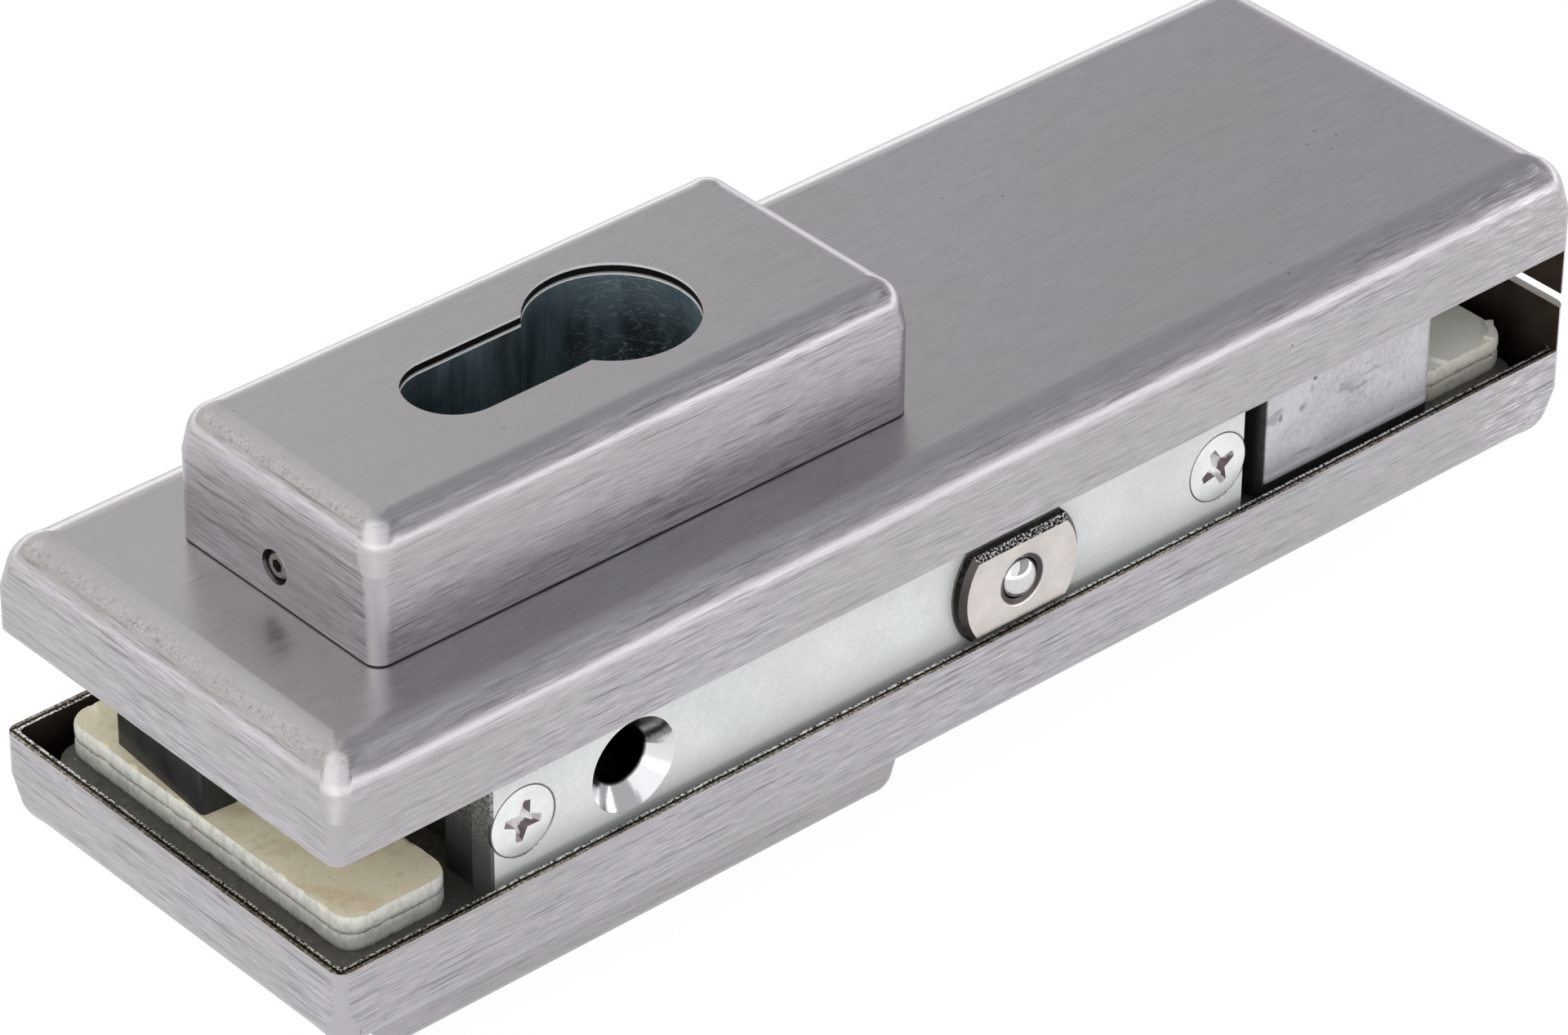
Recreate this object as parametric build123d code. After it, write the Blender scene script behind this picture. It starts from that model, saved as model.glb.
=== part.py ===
"""Glass door patch lock: a lock case and clamp plates that grip the glass, under two clip-on covers.

Millimetres. The origin is where the axis of the key cylinder crosses the middle plane of the glass.
+Z runs through the thickness of the glass, +X along the covers, and the bolt is thrown towards -Y.
Each piece of the upper half is modelled above the middle plane, and the lower half mirrors it.
"""

import os

from build123d import *

# Covers
cover_length = 164.0
cover_width = 52.0
cover_sheet = 1.0
cover_face_height = 17.0
cover_rim_height = 6.2
end_wall_rim_height = 0.85
cover_edge_radius = 4.5
cover_corner_radius = 1.4
cover_crown_radius = 5.5
cover_crown_depth = 6.0
cover_left = -54.7
cover_front = -25.0

# Housings of the key cylinder
housing_length = 67.0
housing_width = 30.0
upper_housing_height = 15.0
lower_housing_height = 12.0
housing_sheet = 1.0
housing_edge_radius = 3.2
housing_corner_radius = 1.8
housing_crown_radius = 4.4
housing_crown_depth = 5.0
housing_from_left = 13.2
housing_seat = 0.6

# Way for a profile cylinder: a round part and a narrow part
way_radius = 8.75
way_flank = 5.25
way_height = 33.5

# Guides that hold the key cylinder inside the housings
guide_round_wall = 4.0
guide_narrow_wall = 3.25
guide_end_gap = 1.0
guide_top_gap = 0.3
guide_chamfer = 1.6

# Grub screws that lock the housings
grub_radius = 1.5
grub_length = 8.0
grub_lift = 4.0
grub_hole_radius = 1.85
grub_sink = 0.3
grub_socket = 1.5
grub_socket_depth = 2.0

# Clamp plates
plate_margin = 3.0
plate_thickness = 6.0
plate_corner_radius = 3.0
plate_edge_radius = 1.5

# Gaskets between the plates and the glass
gasket_left_margin = 4.9
gasket_front_margin = 4.9
gasket_back_margin = 3.0
gasket_left_width = 13.0
gasket_right_width = 13.7
gasket_layer = 1.9
gasket_corner_radius = 2.6
gasket_seam = 0.02
glass_gap = 10.8

# Distance block at the right of the lock case
distance_block_gap = 3.1
distance_block_right_margin = 16.8
distance_block_front_margin = 3.0
distance_block_back_margin = 7.0
distance_block_edge_radius = 1.2
distance_block_top_gap = 0.6

# Spacer that keeps the two halves apart in transit
spacer_from_left = 7.9
spacer_from_front = 34.6
spacer_length = 15.0
spacer_thickness = 4.2
spacer_turn = 4.5
spacer_edge_radius = 0.5

# Lock case
forend_left = -34.3
forend_length = 98.9
forend_front_margin = 2.4
forend_thickness = 3.0
case_height = 16.0
case_end_inset = 0.4
case_front_wall = 4.4
case_narrowing = 2.6
case_wall = 1.8
case_floor = 1.5
case_back_margin = 8.0
case_corner_radius = 1.5
lid_thickness = 1.5

# Deadbolt
bolt_x = 32.3
bolt_radius = 8.0
bolt_flats = 10.0
bolt_face_margin = 0.8
bolt_back_gap = 8.2
bolt_chamfer = 0.6
bolt_clearance = 0.06
bolt_throw = 15.0

# Sprung ball in the nose of the bolt
ball_radius = 2.5
ball_clearance = 0.05
ball_lip_radius = 2.3
ball_lip_sink = 0.35
ball_lip_thickness = 0.3
ball_mouth_radius = 3.0
ball_rest_gap = 0.02
ball_spring_wire = 0.25
ball_spring_coil = 1.9
ball_spring_pitch = 1.3
ball_spring_length = 8.0
ball_plug_length = 3.0

# Tail that the cam of the key cylinder drives
tail_left = 11.8
tail_right = 47.0
tail_thickness = 4.0
tail_front_gap = 0.5
tail_back_gap = 0.6
tail_slot_clearance = 0.05
tail_pin_radius = 1.5
tail_pin_spacing = 6.0
tail_corner_radius = 1.0
cam_notch_depth = 6.4
cam_notch_start = 2.0
cam_notch_width = 10.0

# Rails that guide the rear of the bolt
rail_thickness = 2.2
rail_clearance = 0.1
rail_drop = 0.4

# Detent spring that holds the bolt drawn or thrown
detent_leaf_thickness = 0.4
detent_leaf_width = 6.0
detent_nose_setback = 4.2
detent_slope = 3.0
detent_groove_radius = 1.4
detent_groove_depth = 0.6
detent_nose_gap = 0.1
detent_rivet_margin = 4.4
detent_rivet_radius = 1.5
detent_rivet_head_radius = 2.6
detent_rivet_head = 0.8

# Screws
clamp_screw_radius = 2.5
clamp_screw_head_radius = 5.0
clamp_screw_clearance = 0.3
clamp_boss_wall = 1.4
left_clamp_x = -24.2
left_clamp_margin = 12.5
right_clamp_margin = 14.0
forend_screw_radius = 2.0
forend_screw_head_radius = 4.0
forend_screw_length = 6.6
forend_screw_inset = 3.8
case_screw_radius = 2.0
case_screw_head_radius = 3.8
case_screw_grip = 4.0
case_screw_right = (56.0, 7.0)
lid_screw_radius = 1.25
lid_screw_head_radius = 2.1
lid_screw_length = 6.0
lid_post_radius = 2.8
lid_screw_front_x = (-6.0, 50.0)
lid_screw_back_x = (-14.0, 56.5)
guide_screw_radius = 2.0
guide_screw_head_radius = 3.8
guide_screw_grip = 7.0
guide_screw_inset = 5.5
guide_screw_spread = 5.2
fixing_screw_x = -16.8
fixing_hole_radius = 3.05
fixing_sink_radius = 5.15
screw_gap = 0.02
recess_width = 0.9

# Clips between the clamp plates and the covers
clip_from_ends = 14.0
clip_width = 10.0
clip_sheet = 0.5
clip_reach = 5.0
clip_recess_gap = 0.15
clip_drop = 5.0
clip_wall_gap = 0.15

# Places worked out from the sizes
cover_right = cover_left + cover_length
cover_back = cover_front + cover_width
cover_middle = (cover_front + cover_back) / 2
housing_left = cover_left + housing_from_left
housing_right = housing_left + housing_length
way_narrow_x = way_radius - way_height + way_flank
gasket_height = 2 * gasket_layer
plate_inner = glass_gap / 2 + gasket_height
plate_outer = plate_inner + plate_thickness
plate_left = cover_left + plate_margin
plate_right = cover_right - plate_margin
case_bottom = -plate_inner
case_top = case_bottom + case_height
case_middle = (case_bottom + case_top) / 2
clamp_hole_radius = clamp_screw_radius + clamp_screw_clearance
forend_right = forend_left + forend_length
forend_front = cover_front + forend_front_margin
forend_back = forend_front + forend_thickness
distance_block_left = forend_right + distance_block_gap
distance_block_right = cover_right - distance_block_right_margin
case_left = forend_left + case_end_inset
case_right = forend_right - case_end_inset
case_back = cover_back - case_back_margin
case_inner_front = forend_back + case_front_wall
case_inner_back = case_back - case_wall
body_left = case_left + case_narrowing
body_right = case_right - case_narrowing
floor_top = case_bottom + case_floor
lid_bottom = case_top - lid_thickness
bolt_front = cover_front + bolt_face_margin
bolt_back = case_inner_back - bolt_back_gap
tail_front = case_inner_front + bolt_throw + tail_front_gap
tail_back = case_inner_back - tail_back_gap
bolt_bottom = case_middle - bolt_flats / 2
detent_nose_y = case_inner_front + detent_nose_setback
detent_rivet_y = case_inner_back - detent_rivet_margin
leaf_top = floor_top + detent_leaf_thickness
ball_seat = ball_lip_sink + ball_lip_thickness
ball_sink = ball_seat + (ball_radius**2 - ball_lip_radius**2) ** 0.5 + ball_rest_gap
ball_y = bolt_front + ball_sink
spring_start = ball_y + ball_radius + ball_spring_wire + ball_rest_gap
plug_start = spring_start + ball_spring_length + ball_spring_wire + ball_rest_gap


def block(x, y, z):
    """Box between two limits on each axis."""
    spans = (x, y, z)
    middle = [(low + high) / 2 for low, high in spans]
    size = [high - low for low, high in spans]
    return Pos(*middle) * Box(*size)


def rod(axis, at, span, radius):
    """Round bar along an axis, at two places across it, between two limits on it."""
    bar = Cylinder(radius, span[1] - span[0])
    middle = (span[0] + span[1]) / 2
    if axis == "x":
        return Pos(middle, at[0], at[1]) * Rot(0, 90, 0) * bar
    if axis == "y":
        return Pos(at[0], middle, at[1]) * Rot(90, 0, 0) * bar
    return Pos(at[0], at[1], middle) * bar


def lower(piece):
    """The same piece on the lower side of the glass."""
    return mirror(piece, about=Plane.XY)


def pressed_cap(x, y, sections, edge_radius):
    """Cap with a rounded top, through sections that are each a height and its corner radius."""
    middle = ((x[0] + x[1]) / 2, (y[0] + y[1]) / 2)
    outlines = [Pos(*middle, height) * RectangleRounded(x[1] - x[0], y[1] - y[0], radius)
                for height, radius in sections]
    body = loft(outlines, ruled=True)
    return fillet(body.faces().sort_by(Axis.Z)[-1].edges(), edge_radius)


def grown(span, amount):
    """Two limits moved outwards, or inwards where the amount is negative."""
    return (span[0] - amount, span[1] + amount)


def sheet_cap(x, y, sections, sheet, edge_radius):
    """Pressed cap made of sheet, open below."""
    outside = pressed_cap(x, y, sections, edge_radius)
    inner_sections = [(height - sheet, radius - sheet / 2) for height, radius in sections]
    hollow = pressed_cap(grown(x, -sheet), grown(y, -sheet), inner_sections, edge_radius - sheet)
    return outside - hollow


def profile_way(z, extra=0.0):
    """Space that a profile cylinder fills, between two heights."""
    outline = Circle(way_radius + extra)
    outline += Pos(way_narrow_x / 2, 0) * Rectangle(-way_narrow_x, 2 * (way_flank + extra))
    outline += Pos(way_narrow_x, 0) * Circle(way_flank + extra)
    return extrude(Pos(0, 0, z[0]) * outline, z[1] - z[0])


def cross_recess(head_radius):
    """Cross that a driver turns, cut into the top of a screw head at height 0."""
    span = head_radius * 1.05
    depth = head_radius * 0.45
    arm = Pos(0, 0, -depth / 2) * Box(span, recess_width, depth)
    return arm + Rot(0, 0, 90) * arm


def flat_head_screw(radius, head_radius, length):
    """Countersunk screw that points down from the middle of its head."""
    shank = rod("z", (0, 0), (-length, 0), radius)
    shank = chamfer(shank.faces().sort_by(Axis.Z)[0].edges(), radius * 0.25)
    head_depth = head_radius - radius
    head = Pos(0, 0, -head_depth / 2) * Cone(radius, head_radius, head_depth)
    return shank + head - cross_recess(head_radius)


def flat_head_hole(radius, head_radius, length, clearance=screw_gap):
    """Hole for a countersunk screw, from the middle of its head down."""
    head_depth = head_radius - radius
    sink = Pos(0, 0, -head_depth / 2) * Cone(radius + clearance, head_radius + clearance, head_depth)
    return rod("z", (0, 0), (-length, 1), radius + clearance) + sink


def facing_front(x, y, z):
    """Place where a screw's head faces the front."""
    return Pos(x, y, z) * Rot(90, 0, 0)


# Screw places shared by the pieces that the screws join
right_clamp_x = (distance_block_left + distance_block_right) / 2
clamp_rows = [(left_clamp_x, left_clamp_margin), (right_clamp_x, right_clamp_margin)]
clamp_places = [(x, y) for x, margin in clamp_rows for y in (cover_back - margin, cover_front + margin)]
forend_screw_places = [forend_left + forend_screw_inset, forend_right - forend_screw_inset]
guide_screw_places = [(x, side * guide_screw_spread)
                      for x in (housing_left + housing_sheet + guide_end_gap + guide_screw_inset,
                                housing_right - housing_sheet - guide_end_gap - guide_screw_inset)
                      for side in (-1, 1)]
lid_screw_front_y = forend_back + case_front_wall / 2
lid_screw_back_y = case_inner_back - lid_post_radius / 2
lid_screw_places = ([(x, lid_screw_front_y) for x in lid_screw_front_x]
                    + [(x, lid_screw_back_y) for x in lid_screw_back_x])
case_screw_places = [lid_screw_places[0], lid_screw_places[2], case_screw_right]
clip_places = [cover_left + clip_from_ends, cover_right - clip_from_ends]


def cover():
    """Brushed sheet cover with a deeper wall at its right end and a window under the housing."""
    x, y = (cover_left, cover_right), (cover_front, cover_back)
    sections = [(end_wall_rim_height, cover_corner_radius),
                (cover_face_height - cover_crown_depth, cover_corner_radius),
                (cover_face_height, cover_crown_radius)]
    shell = sheet_cap(x, y, sections, cover_sheet, cover_edge_radius)
    shell -= block((cover_left - 1, cover_right - cover_sheet), grown(y, 1),
                   (end_wall_rim_height - 1, cover_rim_height))
    rest = housing_sheet + housing_seat
    window = block(grown((housing_left, housing_right), -rest),
                   (-housing_width / 2 + rest, housing_width / 2 - rest),
                   (cover_rim_height, cover_face_height + 1))
    return shell - window


def cylinder_housing(height):
    """Raised sheet housing round the key cylinder, with the hole for its grub screw."""
    housing_top = cover_face_height + height
    sections = [(cover_face_height, housing_corner_radius),
                (housing_top - housing_crown_depth, housing_corner_radius),
                (housing_top, housing_crown_radius)]
    shell = sheet_cap((housing_left, housing_right), (-housing_width / 2, housing_width / 2),
                      sections, housing_sheet, housing_edge_radius)
    shell -= profile_way((cover_face_height, housing_top + 1))
    grub_span = (housing_left - 1, housing_left + housing_sheet + 1)
    return shell - rod("x", (0, cover_face_height + grub_lift), grub_span, grub_hole_radius)


def cylinder_guide(height):
    """Block inside a housing of that height, with the way for the key cylinder."""
    left = housing_left + housing_sheet + guide_end_gap
    right = housing_right - housing_sheet - guide_end_gap
    z = (plate_outer, cover_face_height + height - housing_sheet - guide_top_gap)
    half = way_flank + guide_narrow_wall
    body = block((left, right), (-half, half), z)
    body += rod("z", (0, 0), z, way_radius + guide_round_wall)
    body = chamfer(body.faces().sort_by(Axis.Z)[-1].edges(), guide_chamfer)
    body -= profile_way(grown(z, 1))
    for x, y in guide_screw_places:
        body -= rod("z", (x, y), (z[0] - 1, z[0] + guide_screw_grip + 1), guide_screw_radius + screw_gap)
    return body - rod("x", (0, cover_face_height + grub_lift), (left - 1, left + grub_length + 1),
                      grub_radius + screw_gap)


def grub_screw():
    """Socket grub screw that reaches into the wall of the housing."""
    tip = housing_left + grub_sink
    left = housing_left + housing_sheet + guide_end_gap
    height = cover_face_height + grub_lift
    body = rod("x", (0, height), (tip, left + grub_length), grub_radius)
    body = chamfer(body.faces().sort_by(Axis.X)[0].edges(), grub_radius * 0.2)
    socket = extrude(RegularPolygon(grub_socket / 2, 6), grub_socket_depth)
    return body - Pos(tip, 0, height) * Rot(0, 90, 0) * socket


def clip_recess(x, side):
    """Shallow recess in a clamp plate for the foot of a clip."""
    depth = clip_sheet + clip_recess_gap
    inside = cover_width / 2 - plate_margin - clip_reach - clip_recess_gap
    y = sorted((cover_middle + side * inside, cover_middle + side * cover_width / 2))
    return block((x - clip_width / 2 - clip_recess_gap, x + clip_width / 2 + clip_recess_gap), y,
                 (plate_outer - depth, plate_outer + 1))


def plate_body():
    """Clamp plate with what both halves share: the cylinder way, guide screws and clip recesses."""
    x, y = (plate_left, plate_right), (cover_front + plate_margin, cover_back - plate_margin)
    body = block(x, y, (plate_inner, plate_outer))
    body = fillet(body.edges().filter_by(Axis.Z), plate_corner_radius)
    body = fillet(body.faces().sort_by(Axis.Z)[-1].edges(), plate_edge_radius)
    body -= profile_way((plate_inner - 1, plate_outer + 1))
    for place in guide_screw_places:
        hole = flat_head_hole(guide_screw_radius, guide_screw_head_radius, plate_thickness + 1)
        body -= Pos(place[0], place[1], plate_inner) * Rot(180, 0, 0) * hole
    for place in clip_places:
        for side in (-1, 1):
            body -= clip_recess(place, side)
    return body


def upper_clamp_plate():
    """Plate that the heads of the clamp screws pull down on to the glass."""
    body = plate_body()
    for x, y in clamp_places:
        body -= Pos(x, y, plate_outer) * flat_head_hole(clamp_screw_radius, clamp_screw_head_radius,
                                                        plate_thickness + 1)
    return body


def lower_clamp_plate():
    """Plate that the clamp screws are screwed into, and that the lock case stands on."""
    body = lower(plate_body())
    for x, y in clamp_places:
        body -= rod("z", (x, y), (-plate_outer - 1, -plate_inner + 1), clamp_screw_radius + screw_gap)
    for x, y in case_screw_places:
        hole = flat_head_hole(case_screw_radius, case_screw_head_radius, plate_thickness + 1)
        body -= Pos(x, y, -plate_outer) * Rot(180, 0, 0) * hole
    return body


def gasket(z):
    """Left and right pad of one gasket layer."""
    y = (cover_front + gasket_front_margin, cover_back - gasket_back_margin)
    left = cover_left + gasket_left_margin
    right = distance_block_right + gasket_seam
    pads = []
    for start, width in ((left, gasket_left_width), (right, gasket_right_width)):
        pad = block((start, start + width), y, z)
        pads.append(fillet(pad.edges().filter_by(Axis.Z), gasket_corner_radius))
    return Compound(children=pads)


def gasket_backing():
    """Fibre layer against the clamp plate."""
    return gasket((plate_inner - gasket_layer, plate_inner - gasket_seam))


def gasket_facing():
    """Cork and rubber layer against the glass."""
    return gasket((glass_gap / 2, glass_gap / 2 + gasket_layer - gasket_seam))


def transit_spacer():
    """Loose block that stands between the gaskets while no glass is fitted."""
    body = Box(spacer_thickness, spacer_length, glass_gap - 2 * gasket_seam)
    body = fillet(body.edges().filter_by(Axis.Z), spacer_edge_radius)
    place = Pos(cover_left + spacer_from_left, cover_front + spacer_from_front)
    return place * Rot(0, 0, -spacer_turn) * body


def distance_block():
    """Cast block on the lower plate that stops the halves from tilting when the screws are tightened."""
    x = (distance_block_left, distance_block_right)
    y = (cover_front + distance_block_front_margin, cover_back - distance_block_back_margin)
    body = block(x, y, (-plate_inner, plate_inner - distance_block_top_gap))
    body = fillet(body.edges(), distance_block_edge_radius)
    for place in clamp_places[2:]:
        body -= rod("z", place, (-plate_inner - 1, plate_inner + 1), clamp_hole_radius)
    return body


def clamp_screws():
    """Four long screws from the upper plate into the lower one."""
    length = plate_outer + plate_inner + plate_thickness
    screw = flat_head_screw(clamp_screw_radius, clamp_screw_head_radius, length)
    return Compound(children=[Pos(x, y, plate_outer) * screw for x, y in clamp_places])


def bolt_outline(extra):
    """Round bar with two flats, along the front to back axis, between two places."""
    return lambda y: rod("y", (bolt_x, case_middle), y, bolt_radius + extra) & block(
        (bolt_x - 2 * bolt_radius, bolt_x + 2 * bolt_radius), y,
        (case_middle - bolt_flats / 2 - extra, case_middle + bolt_flats / 2 + extra))


def front_openings():
    """What the forend and the front wall of the case both leave open: the bolt and the fixing screw."""
    bolt_way = bolt_outline(bolt_clearance)((forend_front - 1, case_inner_front + 1))
    fixing = rod("y", (fixing_screw_x, case_middle), (forend_front - 1, case_inner_front + 1),
                 fixing_hole_radius)
    return [bolt_way, fixing]


def forend_plate():
    """Plated front plate of the lock case."""
    body = block((forend_left, forend_right), (forend_front, forend_back), (case_bottom, case_top))
    body = chamfer(body.faces().sort_by(Axis.Y)[0].edges(), 0.25)
    for opening in front_openings():
        body -= opening
    sink_depth = fixing_sink_radius - fixing_hole_radius
    sink = Pos(0, 0, -sink_depth / 2) * Cone(fixing_hole_radius, fixing_sink_radius, sink_depth)
    body -= facing_front(fixing_screw_x, forend_front, case_middle) * sink
    for x in forend_screw_places:
        hole = flat_head_hole(forend_screw_radius, forend_screw_head_radius, forend_thickness + 1)
        body -= facing_front(x, forend_front, case_middle) * hole
    return body


def forend_screws():
    """Two countersunk screws through the forend into the case."""
    screw = flat_head_screw(forend_screw_radius, forend_screw_head_radius, forend_screw_length)
    return Compound(children=[facing_front(x, forend_front, case_middle) * screw
                              for x in forend_screw_places])


def lock_case():
    """Open tray with a thick front wall, posts for its screws and rails for the bolt."""
    body = block((case_left, case_right), (forend_back, case_inner_front), (case_bottom, lid_bottom))
    rear = block((body_left, body_right), (forend_back, case_back), (case_bottom, lid_bottom))
    back_edges = [edge for edge in rear.edges().filter_by(Axis.Z) if edge.center().Y > 0]
    body += fillet(back_edges, case_corner_radius)
    body -= block((body_left + case_wall, body_right - case_wall), (case_inner_front, case_inner_back),
                  (floor_top, case_top + 1))
    for x in lid_screw_back_x:
        body += rod("z", (x, lid_screw_back_y), (case_bottom, lid_bottom), lid_post_radius)
    for place in clamp_places[:2]:
        body += rod("z", place, (case_bottom, lid_bottom),
                    clamp_hole_radius + clamp_boss_wall)
    body += rod("z", case_screw_right, (case_bottom, case_bottom + case_screw_grip + case_floor),
                case_screw_radius + case_wall)
    rail_offset = bolt_radius + rail_clearance
    rail_top = case_middle - tail_thickness / 2 - rail_drop
    for side in (-1, 1):
        x = sorted((bolt_x + side * rail_offset, bolt_x + side * (rail_offset + rail_thickness)))
        body += block(x, (case_inner_front - 1, bolt_back), (floor_top, rail_top))
    for opening in front_openings():
        body -= opening
    body -= profile_way((case_bottom - 1, floor_top + 1))
    for place in lid_screw_places:
        body -= rod("z", place, (lid_bottom - lid_screw_length, lid_bottom + 1),
                    lid_screw_radius + screw_gap)
    for place in clamp_places[:2]:
        body -= rod("z", place, (case_bottom - 1, case_top), clamp_hole_radius)
    for place in case_screw_places:
        body -= rod("z", place, (case_bottom - 1, case_bottom + case_screw_grip),
                    case_screw_radius + screw_gap)
    for x in forend_screw_places:
        body -= rod("y", (x, case_middle), (forend_back - 1, forend_front + forend_screw_length + 0.3),
                    forend_screw_radius + screw_gap)
    body -= rod("z", (bolt_x, detent_rivet_y), (case_bottom - 1, floor_top + 1),
                detent_rivet_radius + screw_gap)
    return body


def lid():
    """Flat lid of the lock case."""
    body = block((body_left, body_right), (forend_back, case_back), (lid_bottom, case_top))
    back_edges = [edge for edge in body.edges().filter_by(Axis.Z) if edge.center().Y > 0]
    body = fillet(back_edges, case_corner_radius)
    body -= profile_way((lid_bottom - 1, case_top + 1))
    for x, y in lid_screw_places:
        body -= Pos(x, y, case_top) * flat_head_hole(lid_screw_radius, lid_screw_head_radius,
                                                     lid_thickness + 1)
    for place in clamp_places[:2]:
        body -= rod("z", place, (lid_bottom - 1, case_top + 1), clamp_hole_radius)
    return body


def lid_screws():
    """Four small countersunk screws of the lid."""
    screw = flat_head_screw(lid_screw_radius, lid_screw_head_radius, lid_screw_length)
    return Compound(children=[Pos(x, y, case_top) * screw for x, y in lid_screw_places])


def case_screws():
    """Three screws that hold the lock case on the lower plate."""
    screw = flat_head_screw(case_screw_radius, case_screw_head_radius,
                            plate_thickness + case_screw_grip - 0.3)
    return Compound(children=[Pos(x, y, -plate_outer) * Rot(180, 0, 0) * screw
                              for x, y in case_screw_places])


def guide_screws():
    """Four screws from the clamp plate into the guide of the key cylinder."""
    screw = flat_head_screw(guide_screw_radius, guide_screw_head_radius,
                            plate_thickness + guide_screw_grip)
    return Compound(children=[Pos(x, y, plate_inner) * Rot(180, 0, 0) * screw
                              for x, y in guide_screw_places])


def tail_pin_places():
    """Middles of the two pins that join the bolt and its tail."""
    y = (tail_front + bolt_back) / 2
    return [(bolt_x - tail_pin_spacing / 2, y), (bolt_x + tail_pin_spacing / 2, y)]


def deadbolt():
    """Bolt with two flats, a bore for the sprung ball and a slot for its tail."""
    body = bolt_outline(0)((bolt_front, bolt_back))
    body = chamfer(body.faces().sort_by(Axis.Y)[0].edges(), bolt_chamfer)
    at = (bolt_x, case_middle)
    mouth_depth = ball_lip_sink
    mouth = Pos(0, 0, -mouth_depth / 2) * Cone(ball_lip_radius, ball_mouth_radius, mouth_depth)
    body -= facing_front(bolt_x, bolt_front, case_middle) * mouth
    body -= rod("y", at, (bolt_front - 1, bolt_front + ball_seat + 1), ball_lip_radius)
    body -= rod("y", at, (bolt_front + ball_seat, bolt_back + 1), ball_radius + ball_clearance)
    slot = tail_thickness / 2 + tail_slot_clearance
    body -= block((bolt_x - 2 * bolt_radius, bolt_x + 2 * bolt_radius),
                  (tail_front - tail_slot_clearance, bolt_back + 1),
                  (case_middle - slot, case_middle + slot))
    for place in tail_pin_places():
        body -= rod("z", place, (case_middle - bolt_radius, case_middle + bolt_radius),
                    tail_pin_radius + screw_gap)
    groove_z = bolt_bottom + detent_groove_depth - detent_groove_radius
    for y in (detent_nose_y, detent_nose_y + bolt_throw):
        body -= rod("x", (y, groove_z), (bolt_x - bolt_radius, bolt_x + bolt_radius), detent_groove_radius)
    return body


def bolt_tail():
    """Flat tail with the notch that the cam of the key cylinder drives."""
    middle = (case_middle - tail_thickness / 2, case_middle + tail_thickness / 2)
    body = block((tail_left, tail_right), (tail_front, tail_back), middle)
    body = fillet(body.edges().filter_by(Axis.Z), tail_corner_radius)
    body -= block((tail_left - 1, tail_left + cam_notch_depth),
                  (cam_notch_start, cam_notch_start + cam_notch_width), grown(middle, 1))
    for place in tail_pin_places():
        body -= rod("z", place, grown(middle, 1), tail_pin_radius + screw_gap)
    return body


def tail_pins():
    """Two pins through the bolt and its tail."""
    half = bolt_flats / 2 - 0.2
    return Compound(children=[rod("z", place, (case_middle - half, case_middle + half), tail_pin_radius)
                              for place in tail_pin_places()])


def detent_spring():
    """Bent leaf under the bolt, whose nose rests in a groove of the bolt."""
    flat = floor_top + detent_leaf_thickness / 2
    nose = bolt_bottom + detent_groove_depth - detent_nose_gap - detent_leaf_thickness
    route = Polyline((detent_rivet_y + detent_rivet_head_radius, flat), (detent_nose_y + detent_slope, flat),
                     (detent_nose_y, nose), (detent_nose_y - detent_slope, flat + detent_nose_gap))
    leaf = extrude(Plane.YZ * trace(route, detent_leaf_thickness), detent_leaf_width)
    leaf = Pos(bolt_x - detent_leaf_width / 2, 0, 0) * leaf
    return leaf - rod("z", (bolt_x, detent_rivet_y), (case_bottom, leaf_top + 1),
                      detent_rivet_radius + screw_gap)


def detent_rivet():
    """Rivet that holds the detent spring on the floor of the case."""
    body = rod("z", (bolt_x, detent_rivet_y), (case_bottom + screw_gap, leaf_top + detent_rivet_head),
               detent_rivet_radius)
    head = rod("z", (bolt_x, detent_rivet_y), (leaf_top + screw_gap, leaf_top + detent_rivet_head),
               detent_rivet_head_radius)
    head = chamfer(head.faces().sort_by(Axis.Z)[-1].edges(), detent_rivet_head * 0.5)
    return body + head


def bolt_ball():
    """Ball that stands out of the nose of the bolt."""
    return Pos(bolt_x, ball_y, case_middle) * Sphere(ball_radius)


def ball_spring():
    """Coil spring behind the ball."""
    path = Helix(ball_spring_pitch, ball_spring_length, ball_spring_coil)
    start = Plane(path @ 0, z_dir=path % 0)
    coil = sweep(start * Circle(ball_spring_wire), path, is_frenet=True)
    return Pos(bolt_x, spring_start, case_middle) * Rot(-90, 0, 0) * coil


def ball_plug():
    """Plug that closes the bore behind the spring."""
    return rod("y", (bolt_x, case_middle), (plug_start, plug_start + ball_plug_length),
               ball_radius + ball_clearance - screw_gap)


def cover_clip(x, side):
    """Bent clip that leans on the inside of a cover wall."""
    edge = cover_back - plate_margin
    wall = cover_back - cover_sheet - clip_wall_gap - clip_sheet / 2
    foot = plate_outer - clip_recess_gap / 2 - clip_sheet / 2
    leg = edge + clip_sheet / 2 + clip_recess_gap
    route = Polyline((edge - clip_reach, foot), (leg - clip_sheet / 2, foot), (leg, foot - clip_sheet),
                     (leg, foot - clip_drop / 3), (wall, foot - clip_drop * 0.7), (leg, foot - clip_drop))
    strip = extrude(Plane.YZ * trace(route, clip_sheet), clip_width)
    strip = Pos(x - clip_width / 2, 0, 0) * strip
    return strip if side > 0 else mirror(strip, about=Plane.XZ.offset(-cover_middle))


def cover_clips():
    """Four clips of one clamp plate."""
    return Compound(children=[cover_clip(x, side) for x in clip_places for side in (-1, 1)])


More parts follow.
